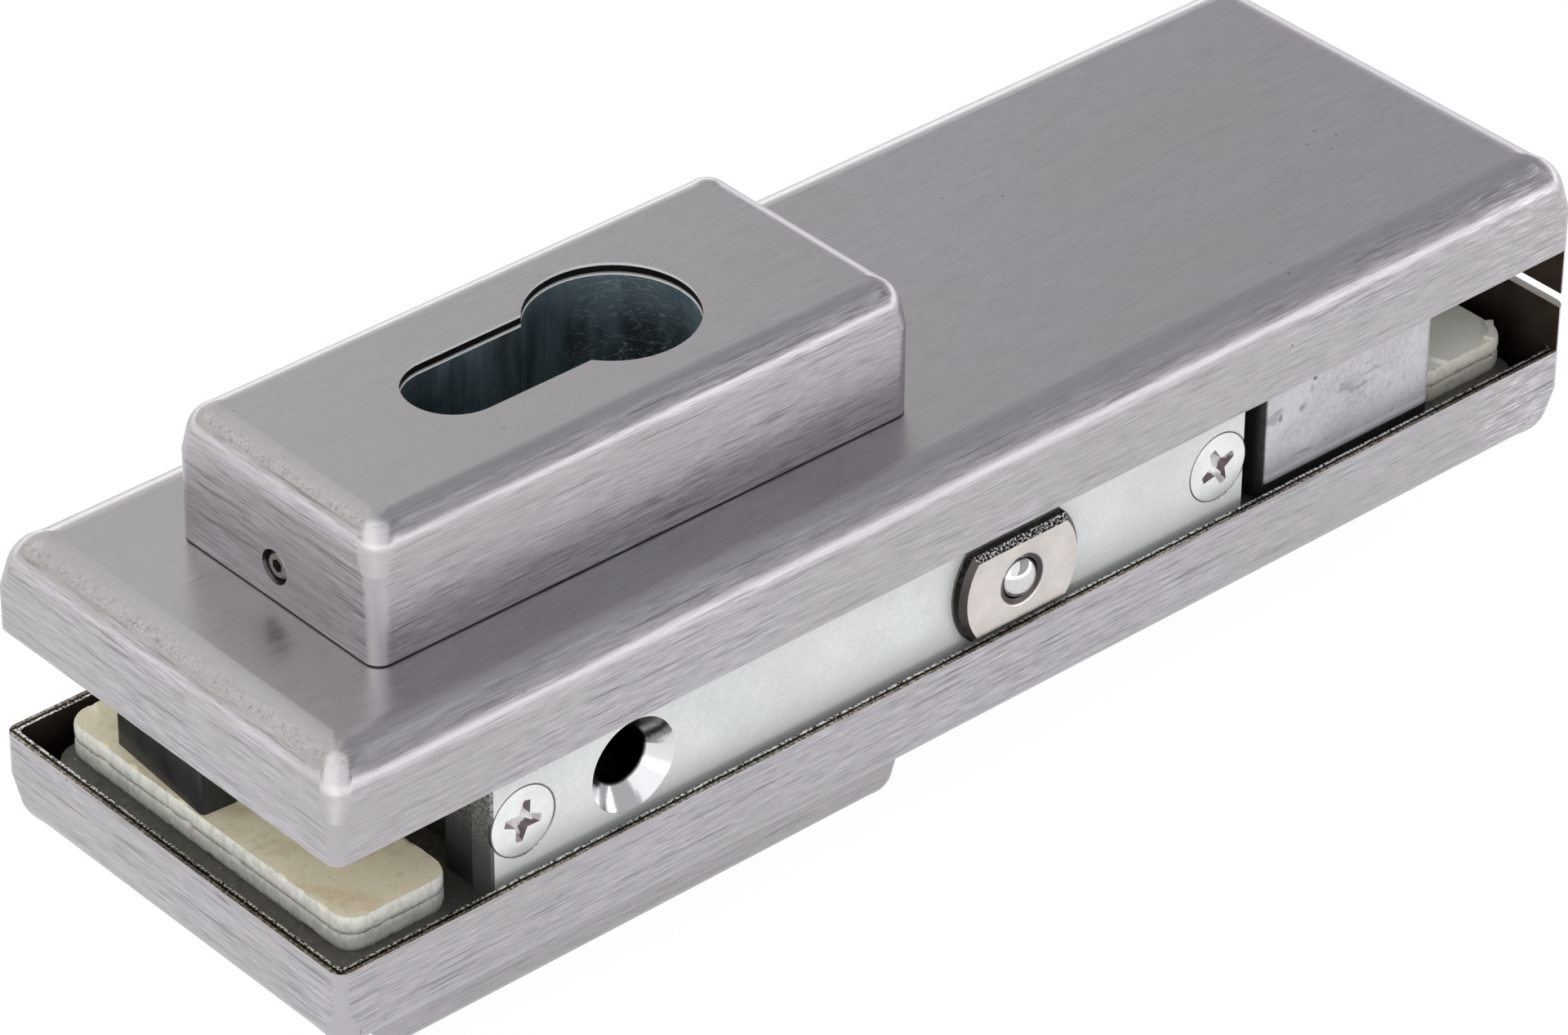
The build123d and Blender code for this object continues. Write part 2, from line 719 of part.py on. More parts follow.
PARTS = {
    "upper_cover": cover,
    "lower_cover": lambda: lower(cover()),
    "upper_cylinder_housing": lambda: cylinder_housing(upper_housing_height),
    "lower_cylinder_housing": lambda: lower(cylinder_housing(lower_housing_height)),
    "upper_cylinder_guide": lambda: cylinder_guide(upper_housing_height),
    "lower_cylinder_guide": lambda: lower(cylinder_guide(lower_housing_height)),
    "upper_grub_screw": grub_screw,
    "lower_grub_screw": lambda: lower(grub_screw()),
    "upper_guide_screws": guide_screws,
    "lower_guide_screws": lambda: lower(guide_screws()),
    "upper_clamp_plate": upper_clamp_plate,
    "lower_clamp_plate": lower_clamp_plate,
    "upper_gasket_backing": gasket_backing,
    "upper_gasket_facing": gasket_facing,
    "lower_gasket_backing": lambda: lower(gasket_backing()),
    "lower_gasket_facing": lambda: lower(gasket_facing()),
    "upper_cover_clips": cover_clips,
    "lower_cover_clips": lambda: lower(cover_clips()),
    "clamp_screws": clamp_screws,
    "distance_block": distance_block,
    "transit_spacer": transit_spacer,
    "lock_case": lock_case,
    "lock_case_lid": lid,
    "lid_screws": lid_screws,
    "case_screws": case_screws,
    "forend_plate": forend_plate,
    "forend_screws": forend_screws,
    "deadbolt": deadbolt,
    "bolt_tail": bolt_tail,
    "tail_pins": tail_pins,
    "detent_spring": detent_spring,
    "detent_rivet": detent_rivet,
    "bolt_ball": bolt_ball,
    "ball_spring": ball_spring,
    "ball_plug": ball_plug,
}

os.makedirs("parts", exist_ok=True)
for name, build in PARTS.items():
    export_step(build(), f"parts/{name}.step")
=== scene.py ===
"""Studio scene of a patch lock for a glass door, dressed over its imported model."""

import logging
import math
import random
from dataclasses import dataclass
from enum import Enum
from functools import cached_property, partialmethod

import bmesh
import bpy
from mathutils import Matrix, Vector, noise


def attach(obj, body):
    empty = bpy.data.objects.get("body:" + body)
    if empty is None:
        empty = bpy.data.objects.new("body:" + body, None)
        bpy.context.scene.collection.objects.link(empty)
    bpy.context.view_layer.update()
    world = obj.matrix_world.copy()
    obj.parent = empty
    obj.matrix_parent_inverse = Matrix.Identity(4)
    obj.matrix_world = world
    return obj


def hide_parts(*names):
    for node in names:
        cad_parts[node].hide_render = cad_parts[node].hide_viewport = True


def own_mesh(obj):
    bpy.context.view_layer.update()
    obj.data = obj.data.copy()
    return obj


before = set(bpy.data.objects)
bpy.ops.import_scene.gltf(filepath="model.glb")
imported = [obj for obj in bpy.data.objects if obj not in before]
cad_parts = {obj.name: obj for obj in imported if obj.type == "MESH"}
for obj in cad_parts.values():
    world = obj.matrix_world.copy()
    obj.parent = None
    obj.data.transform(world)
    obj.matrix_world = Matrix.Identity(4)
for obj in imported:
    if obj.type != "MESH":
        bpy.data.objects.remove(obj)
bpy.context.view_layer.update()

LOG = logging.getLogger("patch lock")
MM = 0.001

Colour = tuple[float, float, float]
Point = tuple[float, float, float]
Span = tuple[float, float]
Shape = bmesh.types.BMesh
Edges = list[bmesh.types.BMEdge]

FACTOR, NUMBER_A, NUMBER_B = 0, 2, 3
COLOUR_A, COLOUR_B, COLOUR_OUT = 6, 7, 2


class Side(Enum):
    """The two halves of the lock, one on each face of the glass."""

    UPPER = 1
    LOWER = -1

    @property
    def title(self) -> str:
        """Word that starts the names of this half's pieces."""
        return self.name.lower()


# ----- Painting with nodes -----


@dataclass(frozen=True)
class Value:
    """Output of a node, from which sums, ranges and mixes go on."""

    graph: "Graph"
    socket: bpy.types.NodeSocket

    def maths(self, operation: str, other: object = 0.0) -> "Value":
        """Result of a sum on this value and another."""
        return self.graph.make("Math", {0: self, 1: other}, operation=operation)

    def __rsub__(self, other: float) -> "Value":
        """A number less this value."""
        return self.graph.make("Math", {0: other, 1: self}, operation="SUBTRACT")

    # The sums by their usual signs and names.
    __mul__ = partialmethod(maths, "MULTIPLY")
    __add__ = partialmethod(maths, "ADD")
    __sub__ = partialmethod(maths, "SUBTRACT")
    __abs__ = partialmethod(maths, "ABSOLUTE")
    greater = partialmethod(maths, "MAXIMUM")
    lesser = partialmethod(maths, "MINIMUM")
    over = partialmethod(maths, "GREATER_THAN")
    under = partialmethod(maths, "LESS_THAN")

    def spread(self, low: float, high: float, to_low: object = 0, to_high: object = 1) -> "Value":
        """Stretches a range of values on to another, with soft ends.

        Args:
            low: Start of the range.
            high: End of the range.
            to_low: Result at the start and below.
            to_high: Result at the end and above.

        Returns:
            The stretched value.
        """
        return self.graph.make("MapRange", {0: self, 1: low, 2: high, 3: to_low, 4: to_high},
                               interpolation_type="SMOOTHSTEP")

    def reach(self, low: float, high: float, to_low: float = 0, to_high: float = 1) -> "Value":
        """Spreads a length, with its range given in millimetres."""
        return self.spread(low * MM, high * MM, to_low, to_high)

    def mix(self, first: object, second: object) -> "Value":
        """Mixes two colours, with this share of the second."""
        return self.graph.make("Mix", {FACTOR: self, COLOUR_A: first, COLOUR_B: second}, COLOUR_OUT,
                               data_type="RGBA")

    def between(self, first: object, second: object) -> "Value":
        """Mixes two numbers, with this share of the second."""
        return self.graph.make("Mix", {FACTOR: self, NUMBER_A: first, NUMBER_B: second}, data_type="FLOAT")


class Graph:
    """Node tree of a material or a world, with short calls for the nodes that this scene uses."""

    def __init__(self, owner: bpy.types.Material | bpy.types.World) -> None:
        """Starts with an empty tree.

        Args:
            owner: Material or world to paint.
        """
        owner.use_nodes = True
        self.tree = owner.node_tree
        self.tree.nodes.clear()
        self.place, self.facing, self.ray = (self.make("TexCoord", {}, name)
                                             for name in ("Object", "Normal", "Generated"))

    @cached_property
    def at(self) -> list[Value]:
        """Place of the surface along X, Y and Z, in metres."""
        return self.split(self.place)

    @cached_property
    def normal(self) -> list[Value]:
        """Parts of the surface's direction along X, Y and Z."""
        return self.split(self.facing)

    def put(self, target: bpy.types.NodeSocket, value: object) -> None:
        """Links a value to an input, or writes a constant on it.

        Args:
            target: Input socket.
            value: Value, number, vector or colour.
        """
        if isinstance(value, Value):
            self.tree.links.new(value.socket, target)
        else:
            target.default_value = (*value, 1) if target.type == "RGBA" else value

    def make(self, kind: str, inputs: dict[object, object], output: object = 0, **settings: object) -> Value:
        """Adds a node and fills its inputs.

        Args:
            kind: Type of the node, without the word ShaderNode.
            inputs: Values by the name or number of the input.
            output: Name or number of the output.
            settings: Properties to set on the node.

        Returns:
            The output.
        """
        node = self.tree.nodes.new("ShaderNode" + kind)
        for key, value in settings.items():
            setattr(node, key, value)
        for key, value in inputs.items():
            self.put(node.inputs[key], value)
        return Value(self, node.outputs[output])

    def split(self, vector: Value) -> list[Value]:
        """The three components of a vector."""
        parts = self.make("SeparateXYZ", {0: vector}).socket.node.outputs
        return [Value(self, part) for part in parts]

    def scaled(self, scale: float | Point, turn: Point) -> Value:
        """Object coordinates, scaled and turned for a pattern.

        Args:
            scale: Repeats per metre, along each axis or along all.
            turn: Turn of the pattern in degrees.

        Returns:
            The scaled coordinates.
        """
        repeats = scale if isinstance(scale, tuple) else (scale,) * 3
        angles = [math.radians(angle) for angle in turn]
        return self.make("Mapping", {"Vector": self.place, "Scale": repeats, "Rotation": angles})

    def noise(self, scale: float | Point, detail: float = 2, roughness: float = 0.5, distortion: float = 0,
              turn: Point = (0, 0, 0)) -> Value:
        """Soft noise.

        Args:
            scale: Features per metre, along each axis or along all.
            detail: Number of finer layers.
            roughness: Weight of the finer layers.
            distortion: Warp of the pattern.
            turn: Turn of the pattern in degrees.

        Returns:
            Noise from 0 to 1, mostly near 0.5.
        """
        return self.make("TexNoise", {"Vector": self.scaled(scale, turn), "Scale": 1, "Detail": detail,
                                      "Roughness": roughness, "Distortion": distortion}, "Fac")

    def cells(self, scale: float | Point, turn: Point = (0, 0, 0)) -> Value:
        """Distance to the nearest of scattered points, at so many per metre."""
        return self.make("TexVoronoi", {"Vector": self.scaled(scale, turn), "Scale": 1}, "Distance")

    def away_from(self, x: float, z: float) -> Value:
        """Distance in metres from a front-to-back axis at x and z in millimetres."""
        across, up = self.at[0] - x * MM, self.at[2] - z * MM
        return (across.maths("POWER", 2.0) + up.maths("POWER", 2.0)).maths("SQRT")

    def inside(self, centre: Point) -> Value:
        """1 on the inner faces of a shell round a point in millimetres, and 0 on its outer faces."""
        away = self.make("VectorMath", {0: self.place, 1: Vector(centre) * MM}, operation="SUBTRACT")
        return self.make("VectorMath", {0: away, 1: self.facing}, "Value", operation="DOT_PRODUCT").under(0.0)

    def surface(self, colour: object, roughness: object, metallic: object,
                *relief: tuple[Value, float, float], **constants: float) -> None:
        """Ends the tree with a surface.

        Args:
            colour: Colour or value.
            roughness: Number or value.
            metallic: Number or value.
            relief: Layers, the coarsest first: height from 0 to 1, height of 1 in metres, and share.
            constants: Other inputs of the shader, with _ for a space.
        """
        normal = {}
        for height, distance, share in relief:
            layer = {"Height": height, "Distance": distance, "Strength": share, **normal}
            normal = {"Normal": self.make("Bump", layer)}
        inputs = {"Base Color": colour, "Roughness": roughness, "Metallic": metallic, **normal}
        inputs.update((name.replace("_", " "), number) for name, number in constants.items())
        self.end("Material", self.make("BsdfPrincipled", inputs))

    def end(self, kind: str, shader: Value) -> None:
        """Links a shader to the tree's output, of the kind Material or World."""
        self.put(self.tree.nodes.new("ShaderNodeOutput" + kind).inputs["Surface"], shader)


def tinted(colour: Colour, *amounts: float) -> Colour:
    """The colour made lighter or darker, by one factor or by one for each channel."""
    return tuple(min(1.0, channel * amount) for channel, amount in zip(colour, amounts * (3 // len(amounts))))


STEEL = (0.515, 0.495, 0.53)
SINK = (-16.8, -15.0, -1.2)
HEADS = ((-30.5, -1.2), (60.8, -1.2))
BALL_AXIS = (32.3, -1.2)


@dataclass(frozen=True)
class Finish:
    """Finish of a piece. Each kind paints its own nodes."""

    title: str
    colour: Colour
    roughness: float

    def material(self) -> bpy.types.Material:
        """The finish's material, painted the first time it's asked for.

        Returns:
            The material.
        """
        found = bpy.data.materials.get(self.title)
        if found is None:
            found = bpy.data.materials.new(self.title)
            self.paint(Graph(found))
        return found

    def tint(self, *amounts: float) -> Colour:
        """The finish's own colour made lighter or darker."""
        return tinted(self.colour, *amounts)

    def paint(self, graph: Graph) -> None:
        """Adds the finish's nodes to an empty tree."""
        raise NotImplementedError


@dataclass(frozen=True)
class BrushedSteel(Finish):
    """Stainless sheet brushed in fine short lines, raw on its sheared edges, and dull inside, where it is
    painted dark as shade.
    """

    centre: Point
    edge_reach: float
    rim_corners: tuple[Span, Span] = ((-54.7, -25.0), (109.3, 27.0))
    cut_heights: Span = (90.0, -90.0)
    burr_above_cut: float = 0.74
    foot: float | None = None
    painted_glint_reach: Span = (90, 103)

    def paint(self, graph: Graph) -> None:
        """Adds brushed lines that follow each wall, a few pits, raw edges and a dull inside, with painted
        shade inside, on a cut and at a foot, and painted glints.

        Args:
            graph: Tree to fill.
        """
        (x, _, z), (along, across, up) = graph.at, graph.normal
        height, upright = abs(z), abs(up)
        level, end_wall = upright.spread(0.80, 0.97), abs(along).spread(0.62, 0.78)
        plain = 1.0 - abs(along * across).spread(0.08, 0.26) * 0.9
        fine, drawn = (end_wall.between(graph.noise((long, short, short), detail, roughness),
                                        graph.noise((short, long, short), detail, roughness))
                       for long, short, detail, roughness in ((300, 7000, 2, 0.65), (80, 2400, 3, 0.6)))
        cloud = graph.noise((26, 60, 60), 3, 0.55)
        lines = plain.between(0.52, fine * 0.65 + drawn * 0.35)
        shade = lines.spread(0.36, 0.64)
        wall = shade.mix(self.tint(0.72), self.tint(1.22))
        wall = (drawn.spread(0.33, 0.42, 0.70, 0.0) * plain).mix(wall, self.tint(0.45))
        # Painted highlight: bright glint streaks on the walls near the right end.
        painted_glints = fine.spread(0.55, 0.62) * x.reach(*self.painted_glint_reach, 0.0, 0.95)
        wall = painted_glints.mix(wall, self.tint(1.85))
        top = shade.mix(self.tint(0.95), self.tint(1.03))
        top = fine.spread(0.66, 0.74, 0.0, 0.5).mix(top, self.tint(1.35))
        base = level.mix(wall, top)
        base = cloud.spread(0.35, 0.65, 0.0, 0.5).mix(base, self.tint(0.95, 0.95, 0.90))
        pits = graph.cells(420).spread(0.05, 0.09, 0.75, 0.0) * graph.noise(90, 1).spread(0.63, 0.67)
        base = pits.mix(base, self.tint(0.35))
        raw = upright.spread(0.85, 0.95) * height.reach(self.edge_reach, self.edge_reach + 0.15, 1.0, 0.0)
        base = raw.mix(base, self.sheared_edge(graph))
        inward, standing = graph.inside(self.centre), upright.under(0.3)
        cut = z.over(self.cut_heights[0] * MM).greater(z.under(self.cut_heights[1] * MM))
        cut *= standing * inward
        inner = inward * (1.0 - raw.greater(cut))
        # Painted shade: the inner faces are painted dark brown-black, as the shade inside the shell.
        painted_inside_shade = graph.noise((70, 240, 240), 4, 0.6)
        base = inner.mix(base, painted_inside_shade.mix((0.035, 0.026, 0.021), (0.14, 0.11, 0.09)))
        burr = height.over((self.cut_heights[0] + self.burr_above_cut) * MM) * standing
        # Painted shade: the cut faces of the hole are painted near-black, as the shade in the seam beside the
        # guide.
        base = (cut * 0.9).mix(base, (0.06, 0.056, 0.053))
        base = burr.mix(base, (0.95, 0.94, 0.92))
        if self.foot is not None:
            # Painted shadow: a near-black line just above the foot, where the housing meets the cover.
            painted_gap_shade = height.reach(self.foot + 0.10, self.foot + 0.24, 0.97, 0.0)
            base = painted_gap_shade.mix(base, (0.012, 0.011, 0.010))
        rough = lines.spread(0.3, 0.7, self.roughness - 0.04, self.roughness + 0.06)
        rough = raw.greater(inner).between(rough, 0.55)
        graph.surface(base, rough, 1.0 - burr * 0.8,
                      (lines * level.spread(0.0, 1.0, 1.0, 0.3), 0.000012, 0.5),
                      (graph.noise(2600, 2, 0.7) * plain, 0.00002, 0.10))

    def sheared_edge(self, graph: Graph) -> Value:
        """Colour across a rim: a brown line outside, a black band and a bright burr inside.

        Args:
            graph: Tree to add to.

        Returns:
            The colour.
        """
        (left, front), (right, back) = self.rim_corners
        x, y, z = graph.at
        depth = (x - left * MM).lesser(right * MM - x).lesser((y - front * MM).lesser(back * MM - y))
        fleck = graph.noise(3600, 2, 0.7)
        outer = fleck.spread(0.42, 0.62).mix((0.17, 0.13, 0.095), (0.62, 0.57, 0.50))
        middle = fleck.spread(0.60, 0.68).mix((0.015, 0.012, 0.010), (0.30, 0.28, 0.24))
        burr = fleck.spread(0.44, 0.53).mix((0.06, 0.06, 0.056), (0.97, 0.97, 0.95))
        edge = depth.reach(0.32, 0.42).mix(outer, middle)
        edge = depth.reach(0.66, 0.74).mix(edge, burr)
        return abs(z).reach(1.5, 2.5).mix((0.44, 0.42, 0.40), edge)


@dataclass(frozen=True)
class PlatedGuide(Finish):
    """Dark blue-green plate on the guide of the key cylinder, scratched where a cylinder slides in."""

    top_edge_highlight: Span = (30.58, 30.64)

    def paint(self, graph: Graph) -> None:
        """Adds a clouded plate with curved scratches, a painted lighter upper part and a painted highlight on
        the top edge.

        Args:
            graph: Tree to fill.
        """
        x, height = graph.at[0], abs(graph.at[2])
        cloud = graph.noise((200, 200, 60), 4, 0.6)
        streak = graph.noise((1100, 1100, 70), 3, 0.65)
        swirl = graph.noise((150, 150, 420), 3, 0.7, 2.2, (25, 0, 0))
        hair = abs(swirl - 0.5).spread(0.004, 0.012, 0.75, 0.0) * x.reach(-1, 5)
        # Painted light: the higher part of the guide is painted lighter, more towards the right.
        lit = height.reach(24, 29) * x.reach(-6, 4, 0.15, 0.75)
        # Painted highlight: a thin near-white, non-metallic line along the top edge.
        edge = height.reach(*self.top_edge_highlight)
        base = cloud.spread(0.36, 0.62).mix(self.tint(0.38), self.tint(1.25))
        base = streak.spread(0.38, 0.48, 0.45, 0.0).mix(base, self.tint(0.35))
        base = lit.mix(base, self.tint(1.7))
        base = hair.mix(base, (0.50, 0.58, 0.60))
        base = edge.mix(base, (0.97, 0.98, 0.98))
        rough = cloud.spread(0.3, 0.7, self.roughness, self.roughness + 0.18)
        graph.surface(base, rough, edge.between(0.6, 0.0), (swirl, 0.00003, 0.4))


@dataclass(frozen=True)
class DieCast(Finish):
    """Grainy casting, with dark pores, pale scuffs and brighter worn spots."""

    metallic: float
    grain: float
    pore_share: float
    flow_share: float
    worn: Colour
    foot: float | None = None

    def paint(self, graph: Graph) -> None:
        """Adds cast grain, pores, drawn-out flow marks and worn spots, and at a foot a painted highlight and
        a painted dark shadow line.

        Args:
            graph: Tree to fill.
        """
        cloud, grain = graph.noise(110, 4, 0.6), graph.noise(self.grain, 3, 0.65)
        flow = graph.noise((150, 520, 520), 4, 0.62, 0.3, (0, 35, 20))
        pores = graph.cells((700, 700, 420), (0, 30, 0)).spread(0.14, 0.30, 1.0, 0.0)
        pores *= cloud.spread(0.5, 0.62)
        base = cloud.spread(0.32, 0.68).mix(self.tint(0.84), self.tint(1.14))
        base = grain.spread(0.38, 0.66, 0.0, 0.4).mix(base, self.tint(1.3))
        base = flow.spread(0.34, 0.42, self.flow_share, 0.0).mix(base, self.tint(0.45))
        base = (pores * self.pore_share).mix(base, self.tint(0.25))
        base = grain.spread(0.66, 0.72, 0.0, 0.7).mix(base, self.worn)
        if self.foot is not None:
            depth = graph.at[2] * -1.0
            # Painted highlight: lighter towards the foot, on the rounded lower edge.
            base = depth.reach(self.foot - 1.3, self.foot - 0.8, 0.0, 0.9).mix(base, self.tint(1.5))
            # Painted shadow: near-black at the foot and on faces that look left, as shade in the seams.
            painted_gap_shade = depth.reach(self.foot - 0.30, self.foot).greater((graph.normal[0] * -1.0).spread(0.35, 0.6))
            base = (painted_gap_shade * 0.97).mix(base, (0.01, 0.01, 0.01))
        rough = grain.spread(0.35, 0.7, self.roughness + 0.1, self.roughness - 0.06)
        graph.surface(base, rough, self.metallic, (flow, 0.00005, 0.4), (grain, 0.00004, 0.6),
                      (1.0 - pores, 0.00008, 0.6))


@dataclass(frozen=True)
class Galvanised(Finish):
    """Pale zinc coat with soft blue and grey clouds and a fine grain, turned bright where a hole is cut."""

    metallic: float
    granular: float
    painted_bottom_light: float = 0.0
    sink_radius: float = 5.2
    hole_radius: float = 3.3

    def paint(self, graph: Graph) -> None:
        """Adds clouds and grain, granular cut edges, the turned hole, and painted light and shade: lighter
        low on the face, darker low on the ends, near-black in the hole.

        Args:
            graph: Tree to fill.
        """
        cloud, broad, grain = graph.noise(120, 5, 0.62), graph.noise(45, 3, 0.5), graph.noise(2600, 2, 0.6)
        height = graph.at[2]
        base = cloud.spread(0.3, 0.7).mix(self.tint(0.92), self.tint(1.05))
        base = broad.spread(0.42, 0.62, 0.0, 0.5).mix(base, self.tint(0.98, 0.95, 0.93))
        base = grain.spread(0.36, 0.66, 0.16, 0.0).mix(base, self.tint(0.62))
        base = graph.cells(260).spread(0.03, 0.05, 0.6, 0.0).mix(base, self.tint(0.4))
        # Painted light: near-white towards the bottom of the face, to cancel the shade from the lower cover.
        base = height.reach(-7.6, -3.6, self.painted_bottom_light, 0.0).mix(base, (0.97, 0.98, 0.98))
        level = abs(graph.normal[2]).spread(0.4, 0.75)
        edge = grain.spread(0.42, 0.60).mix((0.06, 0.063, 0.06), (0.55, 0.57, 0.56))
        base = (level * self.granular).mix(base, edge)
        end = abs(graph.normal[0]).spread(0.4, 0.75)
        cast = grain.spread(0.40, 0.62).mix((0.035, 0.037, 0.036), (0.30, 0.31, 0.30))
        # Painted shade: the dark granular ends turn near-black towards the bottom.
        cast = height.reach(-5.5, 4.5).mix((0.012, 0.013, 0.014), cast)
        base = (end * self.granular).mix(base, cast)
        away, front = graph.away_from(SINK[0], SINK[2]), graph.at[1].under(SINK[1] * MM)
        cut = away.reach(self.sink_radius - 0.04, self.sink_radius, 1.0, 0.0) * front
        deep = away.reach(self.hole_radius - 0.2, self.hole_radius, 1.0, 0.0) * front
        # Painted shade: near-black inside the hole, within the turned countersink.
        base = deep.mix(cut.mix(base, (0.80, 0.81, 0.82)), (0.055, 0.062, 0.050))
        rough = cloud.spread(0.3, 0.7, self.roughness + 0.06, self.roughness - 0.05)
        graph.surface(base, cut.between(rough, 0.16), cut.between(self.metallic, 1.0), (cloud, 0.00006, 0.3),
                      (grain, 0.000025, 0.4))


@dataclass(frozen=True)
class NickelBolt(Finish):
    """Warm nickel, painted nearly black as a reflection round the edge of the bolt's nose, with bright flecks
    painted as sparkle.
    """

    nose: Span = (-22.95, -22.35)
    ball_ring: Span = (2.2, 2.95)

    def paint(self, graph: Graph) -> None:
        """Adds a smooth mottled face, a chamfer and flank painted dark as reflection with painted bright
        flecks, painted shade round the ball and nickel behind the nose.

        Args:
            graph: Tree to fill.
        """
        flat = abs(graph.normal[1])
        cloud, grain, fine = graph.noise(200, 4, 0.6), graph.noise(1500, 3, 0.7), graph.noise(4200, 2, 0.7)
        face = cloud.spread(0.3, 0.7).mix(self.tint(0.88), self.tint(1.05))
        # Painted reflection: the flank of the nose is painted nearly black.
        flank = grain.spread(0.45, 0.7).mix((0.012, 0.011, 0.010), (0.07, 0.062, 0.058))
        drag = graph.noise((2600, 160, 2600), 3, 0.6)
        behind = graph.at[1].reach(*self.nose)
        flank = behind.mix(flank, drag.spread(0.35, 0.62).mix(self.tint(0.72), self.tint(0.98)))
        # Painted reflection and highlight: the chamfer is near-black with bright painted sparkle flecks, dark
        # brown where it faces the sides.
        fleck = fine.spread(0.51, 0.58).mix((0.02, 0.018, 0.017), (0.88, 0.86, 0.84))
        fleck = abs(graph.normal[0]).spread(0.3, 0.6).mix(fleck, (0.075, 0.066, 0.06))
        base = flat.spread(0.60, 0.69).mix(flank, fleck)
        base = flat.spread(0.80, 0.88).mix(base, face)
        away, (inner, outer) = graph.away_from(*BALL_AXIS), self.ball_ring
        # Painted shade: a near-black ring in the hole round the ball.
        ring = away.reach(inner, inner + 0.1) * away.reach(outer - 0.2, outer, 0.92, 0.0)
        base = ring.mix(base, (0.02, 0.018, 0.017))
        rough = behind.between(flat.spread(0.3, 0.95, 0.5, self.roughness), self.roughness + 0.04)
        graph.surface(base, rough, 0.92, (grain, 0.00003, 0.35))


@dataclass(frozen=True)
class BrightPlate(Finish):
    """Smooth bright plate of screws, springs and the ball, with light scratches."""

    metallic: float
    wear: float
    recess: Colour | None = None
    ring_axes: tuple[Span, ...] = ()
    ring_from: float = 3.76
    ring_end: float = 4.5

    def paint(self, graph: Graph) -> None:
        """Adds faint clouds and scratches, painted shade on a recess's walls and a painted shade ring round
        each head.

        Args:
            graph: Tree to fill.
        """
        cloud = graph.noise(420, 4, 0.6)
        scratch = graph.noise((300, 2600, 2600), 3, 0.6, 0.2, (0, 0, 30))
        base = cloud.spread(0.3, 0.7).mix(self.tint(0.93), self.tint(1.04))
        base = scratch.spread(0.30, 0.38, self.wear, 0.0).mix(base, self.tint(0.6))
        if self.recess is not None:
            # Painted shade: the recess walls are painted dark.
            wall = abs(graph.normal[1]).spread(0.55, 0.9, 1.0, 0.0)
            base = wall.mix(base, cloud.mix(tinted(self.recess, 0.5), tinted(self.recess, 1.5)))
        # Painted shade: a dark ring round each head.
        for axis in self.ring_axes:
            away = graph.away_from(*axis)
            ring = away.reach(self.ring_from, self.ring_from + 0.08, 0.0, 0.9)
            ring *= away.under(self.ring_end * MM)
            base = ring.mix(base, (0.04, 0.04, 0.04))
        rough = cloud.spread(0.3, 0.7, self.roughness, self.roughness + 0.05)
        graph.surface(base, rough, self.metallic, (scratch, 0.000008, 0.4))


@dataclass(frozen=True)
class GasketBoard(Finish):
    """Pressed fibre or cork board, with blotches, crumbs and a fibrous cut edge."""

    blotch: Colour
    side: Colour
    right_from: float = 80
    rim: Span = (5.46, 5.56)
    seam_height: float = 7.29

    def paint(self, graph: Graph) -> None:
        """Adds blotches on the face and drawn-out fibres on the cut sides, and paints the right pad as a
        shaded copy with a lit rim.

        Args:
            graph: Tree to fill.
        """
        height, right = abs(graph.at[2]), graph.at[0].over(self.right_from * MM)
        broad, crumb = graph.noise(150, 5, 0.65, 0.4), graph.noise(900, 4, 0.7)
        fibre = graph.noise((1500, 1500, 420), 4, 0.7, 0.5)
        face = broad.spread(0.46, 0.70, 0.0, 0.55).mix(self.colour, self.blotch)
        face = crumb.spread(0.34, 0.46, 0.25, 0.0).mix(face, tinted(self.blotch, 0.7))
        # Painted shade: the right pad's face is painted darker.
        face = (right * 0.95).mix(face, (0.36, 0.33, 0.235))
        # Painted light: the right pad's raised rim is painted lighter.
        face = (height.reach(*self.rim, 0.9, 0.0) * right).mix(face, tinted(self.side, 1.2))
        cut = fibre.spread(0.33, 0.60).mix(tinted(self.side, 0.86), tinted(self.side, 1.08))
        cut = crumb.spread(0.34, 0.42, 0.4, 0.0).mix(cut, tinted(self.side, 0.6))
        seam = abs(height - self.seam_height * MM).reach(0.05, 0.13, 0.85, 0.0)
        cut = seam.mix(cut, tinted(self.side, 0.22))
        # Painted shade: the right pad's cut sides are painted darker and warmer.
        cut = (right * 0.6).mix(cut, (0.62, 0.58, 0.49))
        base = abs(graph.normal[2]).spread(0.55, 0.85).mix(cut, face)
        rough = crumb.spread(0.3, 0.7, self.roughness, self.roughness - 0.12)
        graph.surface(base, rough, 0.0, (fibre, 0.00006, 0.4), (crumb, 0.00006, 0.5), Specular_IOR_Level=0.25)


@dataclass(frozen=True)
class BlackPlastic(Finish):
    """Satin moulded plastic with a faint leathered skin and dust."""

    def paint(self, graph: Graph) -> None:
        """Adds a fine skin, faint flow marks and pale dust.

        Args:
            graph: Tree to fill.
        """
        skin, flow = graph.noise(1700, 3, 0.6), graph.noise((160, 300, 60), 3, 0.5)
        dust = graph.noise(1100, 4, 0.75).spread(0.64, 0.74, 0.0, 0.5)
        base = flow.spread(0.3, 0.7).mix(self.tint(0.7), self.tint(1.5))
        base = dust.mix(base, (0.16, 0.16, 0.165))
        rough = flow.spread(0.3, 0.7, self.roughness - 0.05, self.roughness + 0.1)
        graph.surface(base, rough, 0.0, (skin, 0.00003, 0.4), Specular_IOR_Level=0.5)


